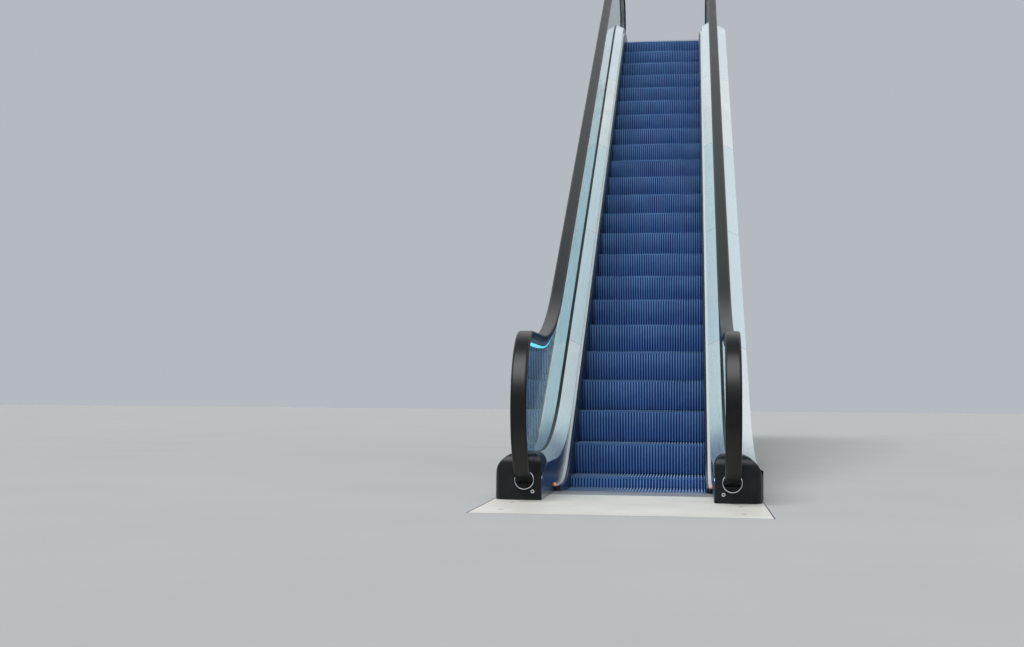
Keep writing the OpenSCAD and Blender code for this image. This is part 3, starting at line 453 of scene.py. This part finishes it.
# Handrails: moulded black rubber over a fabric core, smooth, with the dull shine that
# hands leave along the top. The pores are drawn at 1.7 mm, coarser than the real ones, to
# show close up.
handrail_rubber, tree, shader, place = finish("moulded_black_rubber")
hands = add(tree, "TexNoise", {"Vector": place, "Scale": per_metre(125), "Detail": 4.0}, "Fac")
pores = add(tree, "TexNoise", {"Vector": place, "Scale": per_metre(1.7), "Detail": 2.0}, "Fac")
sheen = add(tree, "MapRange", {"Value": hands, "To Min": 0.26, "To Max": 0.4}, "Result")
bump = add(tree, "Bump", {"Height": pores, "Strength": 0.12, "Distance": 0.0003}, "Normal")
feed(tree, shader, {"Base Color": mottled(tree, hands, "#08090a", "#0f1012"),
                    "Roughness": sheen, "Specular IOR Level": 0.28, "Normal": bump})
coat(handrail_rubber, "left_handrail", "right_handrail")

# Newel bases: moulded ABS caps, black, screwed over the ends of the balustrades. The mould
# gives them a leather grain of about 1.4 mm, which keeps them dull, and hands leave a haze.
black_abs, tree, shader, place = finish("grained_black_abs")
leather = add(tree, "TexVoronoi", {"Vector": place, "Scale": per_metre(1.4)}, "Distance")
haze = add(tree, "TexNoise", {"Vector": place, "Scale": per_metre(71.4), "Detail": 4.0}, "Fac")
sheen = add(tree, "MapRange", {"Value": haze, "To Min": 0.28, "To Max": 0.42}, "Result")
bump = add(tree, "Bump", {"Height": leather, "Strength": 0.2, "Distance": 0.0003}, "Normal")
feed(tree, shader, {"Base Color": mottled(tree, haze, "#0e0f11", "#17181b"),
                    "Roughness": sheen, "Specular IOR Level": 0.25, "Normal": bump})
coat(black_abs, "lower_newel_bases", "upper_newel_bases")

# Inlet rings and key switches: chromed brass, turned and pressed into the bases, bright
# with a faint breath of haze. Each switch has a black nylon barrel, half sunk, with an
# upright slot for the key.
chrome, tree, shader, place = finish("chromed_brass")
breath = add(tree, "TexNoise", {"Vector": place, "Scale": per_metre(25), "Detail": 3.0}, "Fac")
sheen = add(tree, "MapRange", {"Value": breath, "To Min": 0.06, "To Max": 0.16}, "Result")
feed(tree, shader, {"Base Color": srgb("#e4e6e8"), "Metallic": 1.0, "Roughness": sheen})
coat(chrome, "handrail_inlet_rings", "key_switches")

switch_radius = 0.009
barrel_radius = 0.006
barrel_deep = 0.0016
slit_size = (0.0012, 0.01, 0.007)
bpy.ops.object.select_all(action="DESELECT")
bpy.ops.mesh.primitive_cylinder_add(vertices=24, radius=barrel_radius, depth=barrel_deep,
                                    rotation=(math.radians(90), 0, 0))
bpy.ops.object.transform_apply(rotation=True)
barrel = bpy.context.object
bpy.ops.mesh.primitive_cube_add(size=1)
slit = bpy.context.object
slit.scale = slit_size
bpy.ops.object.transform_apply(scale=True)
cut = barrel.modifiers.new("slot", "BOOLEAN")
cut.operation = "DIFFERENCE"
cut.object = slit
cut.solver = "EXACT"
bpy.context.view_layer.objects.active = barrel
bpy.ops.object.modifier_apply(modifier="slot")
bpy.data.objects.remove(slit)
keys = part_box("key_switches")
key_x = keys[1][0] - switch_radius
key_rows = ((keys[0][1] - barrel_deep / 2, keys[0][2] + switch_radius),
            (keys[1][1] + barrel_deep / 2, keys[1][2] - switch_radius))
spots = [(side * key_x, y, z) for side in (-1, 1) for y, z in key_rows]
copies(barrel, "key_barrels", black_nylon, spots)

# Brush collars: rings of black nylon bristles set in the inlets, cut out to the section of
# the handrail that runs through them. The tufts are drawn at 1.1 mm, coarser than single
# bristles, so that the rings look rough and dark.
bristles, tree, shader, place = finish("black_nylon_bristles")
tufts = add(tree, "TexNoise", {"Vector": place, "Scale": per_metre(1.1), "Detail": 2.0}, "Fac")
bump = add(tree, "Bump", {"Height": tufts, "Strength": 0.7, "Distance": 0.001}, "Normal")
feed(tree, shader, {"Base Color": mottled(tree, tufts, "#060607", "#141517"),
                    "Roughness": 0.75, "Normal": bump})

opening_wide = 0.083
opening_deep = 0.035
opening_round = 0.012
ring_bore = 0.0446
bristle_length = 0.006
bpy.ops.object.select_all(action="DESELECT")
bpy.ops.mesh.primitive_plane_add(size=1)
collar = bpy.context.object
collar.scale = (opening_wide, opening_deep, 1)
bpy.ops.object.transform_apply(scale=True)
bpy.ops.object.mode_set(mode="EDIT")
bpy.ops.mesh.select_all(action="SELECT")
bpy.ops.mesh.bevel(offset=opening_round, segments=6, affect="VERTICES")
bpy.ops.mesh.delete(type="ONLY_FACE")
bpy.ops.mesh.select_all(action="DESELECT")
bpy.ops.mesh.primitive_circle_add(vertices=28, radius=ring_bore, fill_type="NOTHING")
bpy.ops.mesh.select_all(action="SELECT")
bpy.ops.mesh.bridge_edge_loops()
bpy.ops.mesh.select_all(action="SELECT")
bpy.ops.mesh.extrude_region_move(TRANSFORM_OT_translate={"value": (0, 0, bristle_length)})
bpy.ops.mesh.select_all(action="SELECT")
bpy.ops.mesh.normals_make_consistent(inside=False)
bpy.ops.object.mode_set(mode="OBJECT")

# The inlets are bored square to the raked toe of each base, and the collars sit a little
# way down them.
rake = math.radians(10.1)
inlet_inset = 0.0182
inlet_height = 0.102
sunk = 0.009
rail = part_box("right_handrail")
rail_x = (rail[0][0] + rail[1][0]) / 2
low_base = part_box("lower_newel_bases")
high_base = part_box("upper_newel_bases")
spots = []
turns = []
for side in (-1, 1):
    for front, foot, way in ((low_base[0][1], low_base[0][2], 1),
                             (high_base[1][1], high_base[0][2], -1)):
        spots.append((side * rail_x, front + way * (inlet_inset + sunk * math.cos(rake)),
                      foot + inlet_height - sunk * math.sin(rake)))
        turns.append((math.radians(90) - rake, 0, math.radians(90 - 90 * way)))
copies(collar, "inlet_brush_collars", bristles, spots, turns)

# Comb lamps: small round amber lenses of moulded acrylic, set on the interior panels beside
# the combs. Prisms of about 4 mm in the lens break up the light of the lamp.
amber_lens, tree, shader, place = finish("amber_acrylic_lens")
prism = add(tree, "TexVoronoi", {"Vector": place, "Scale": per_metre(3.85)}, "Distance")
bump = add(tree, "Bump", {"Height": prism, "Strength": 0.4, "Distance": 0.0006}, "Normal")
feed(tree, shader, {"Base Color": srgb("#ef8a3c"), "Emission Color": srgb("#ff8a4a"),
                    "Emission Strength": 0.6, "Roughness": 0.2, "Normal": bump})
coat(amber_lens, "comb_lights")

# Floor: painted, plain and pale, level with the combs, with a hole where the stair sits in
# its recess. The hole ends where the underside of the slope leaves the floor.
floor_reach = 60.0
floor_gap = 0.0015
hole_x = panel_face + floor_gap
hole_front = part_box("soffit")[0][1] - floor_gap
hole_back = 4.38
bpy.ops.object.select_all(action="DESELECT")
floor_parts = []
for x0, x1, y0, y1 in ((-floor_reach, floor_reach, -floor_reach, hole_front),
                       (-floor_reach, floor_reach, hole_back, floor_reach),
                       (-floor_reach, -hole_x, hole_front, hole_back),
                       (hole_x, floor_reach, hole_front, hole_back)):
    bpy.ops.mesh.primitive_plane_add(size=1, location=((x0 + x1) / 2, (y0 + y1) / 2, low_top))
    bpy.context.object.scale = (x1 - x0, y1 - y0, 1)
    floor_parts.append(bpy.context.object)
for part in floor_parts:
    part.select_set(True)
bpy.ops.object.join()
floor = bpy.context.object
floor.name = "pale_floor"
bpy.ops.object.transform_apply(location=True, rotation=True, scale=True)
pale_floor, tree, shader, place = finish("pale_floor_paint")
cloud = add(tree, "TexNoise", {"Vector": place, "Scale": per_metre(1250), "Detail": 3.0}, "Fac")
feed(tree, shader, {"Base Color": mottled(tree, cloud, "#b6b7b6", "#b9bab9"),
                    "Roughness": 0.8})
floor.data.materials.append(pale_floor)

# Light: one broad soft lamp from above and a pale room. Bare metal mirrors the room as
# bands: grey near the floor and overhead, and white screens between them.
scene = bpy.context.scene
scene.view_settings.view_transform = "Standard"
room = bpy.data.worlds.new("soft_room")
scene.world = room
room.use_nodes = True
tree = room.node_tree
tree.nodes.clear()
rays = add(tree, "LightPath").outputs
seen = add(tree, "Math", {0: rays["Is Camera Ray"], 1: rays["Is Transmission Ray"]}, "Value",
           operation="MAXIMUM")
lit = add(tree, "Background", {"Color": srgb("#e6edf6"), "Strength": 0.3}, "Background")
shown = add(tree, "Background", {"Color": srgb("#b4babf"), "Strength": 1.0}, "Background")
toward = add(tree, "TexCoord", output="Generated")
upward = add(tree, "SeparateXYZ", {"Vector": toward}, "Z")
bands = add(tree, "ValToRGB", {"Fac": upward})
stops = bands.color_ramp.elements
stops[0].color = srgb("#828990")
stops[1].color = srgb("#95a0a6")
for position, code in ((0.3, "#b0b8bd"), (0.5, "#ffffff"), (0.7, "#fcffff"), (0.82, "#a4b5be")):
    stops.new(position).color = srgb(code)
mirrored = add(tree, "Background", {"Color": bands.outputs["Color"], "Strength": 1.0},
               "Background")
either = add(tree, "MixShader", {"Fac": seen, 1: lit, 2: shown}, "Shader")
whole = add(tree, "MixShader", {"Fac": rays["Is Glossy Ray"], 1: either, 2: mirrored}, "Shader")
add(tree, "OutputWorld", {"Surface": whole})

bpy.ops.object.light_add(type="SUN", location=(0.0, 0.0, 12.0),
                         rotation=(math.radians(27), math.radians(-8), 0))
lamp = bpy.context.object
lamp.name = "ceiling_light"
lamp.data.energy = 2.7
lamp.data.angle = math.radians(40)

# Camera: the photograph's own place and angle, at about knee height in front of the stair
# and a little to the right of its middle.
camera_place = (0.320, -6.863, 0.654)
camera_lift = 2.718
camera_roll = -0.46
camera_turn = 9.198
bpy.ops.object.camera_add(location=camera_place)
camera = bpy.context.object
camera.name = "photo_camera"
camera.rotation_euler = [math.radians(v) for v in (90 + camera_lift, camera_roll, camera_turn)]
camera.data.sensor_width = 36.0
camera.data.lens = 54.17
camera.data.shift_x = 0.069
camera.data.clip_end = 200.0
scene.camera = camera
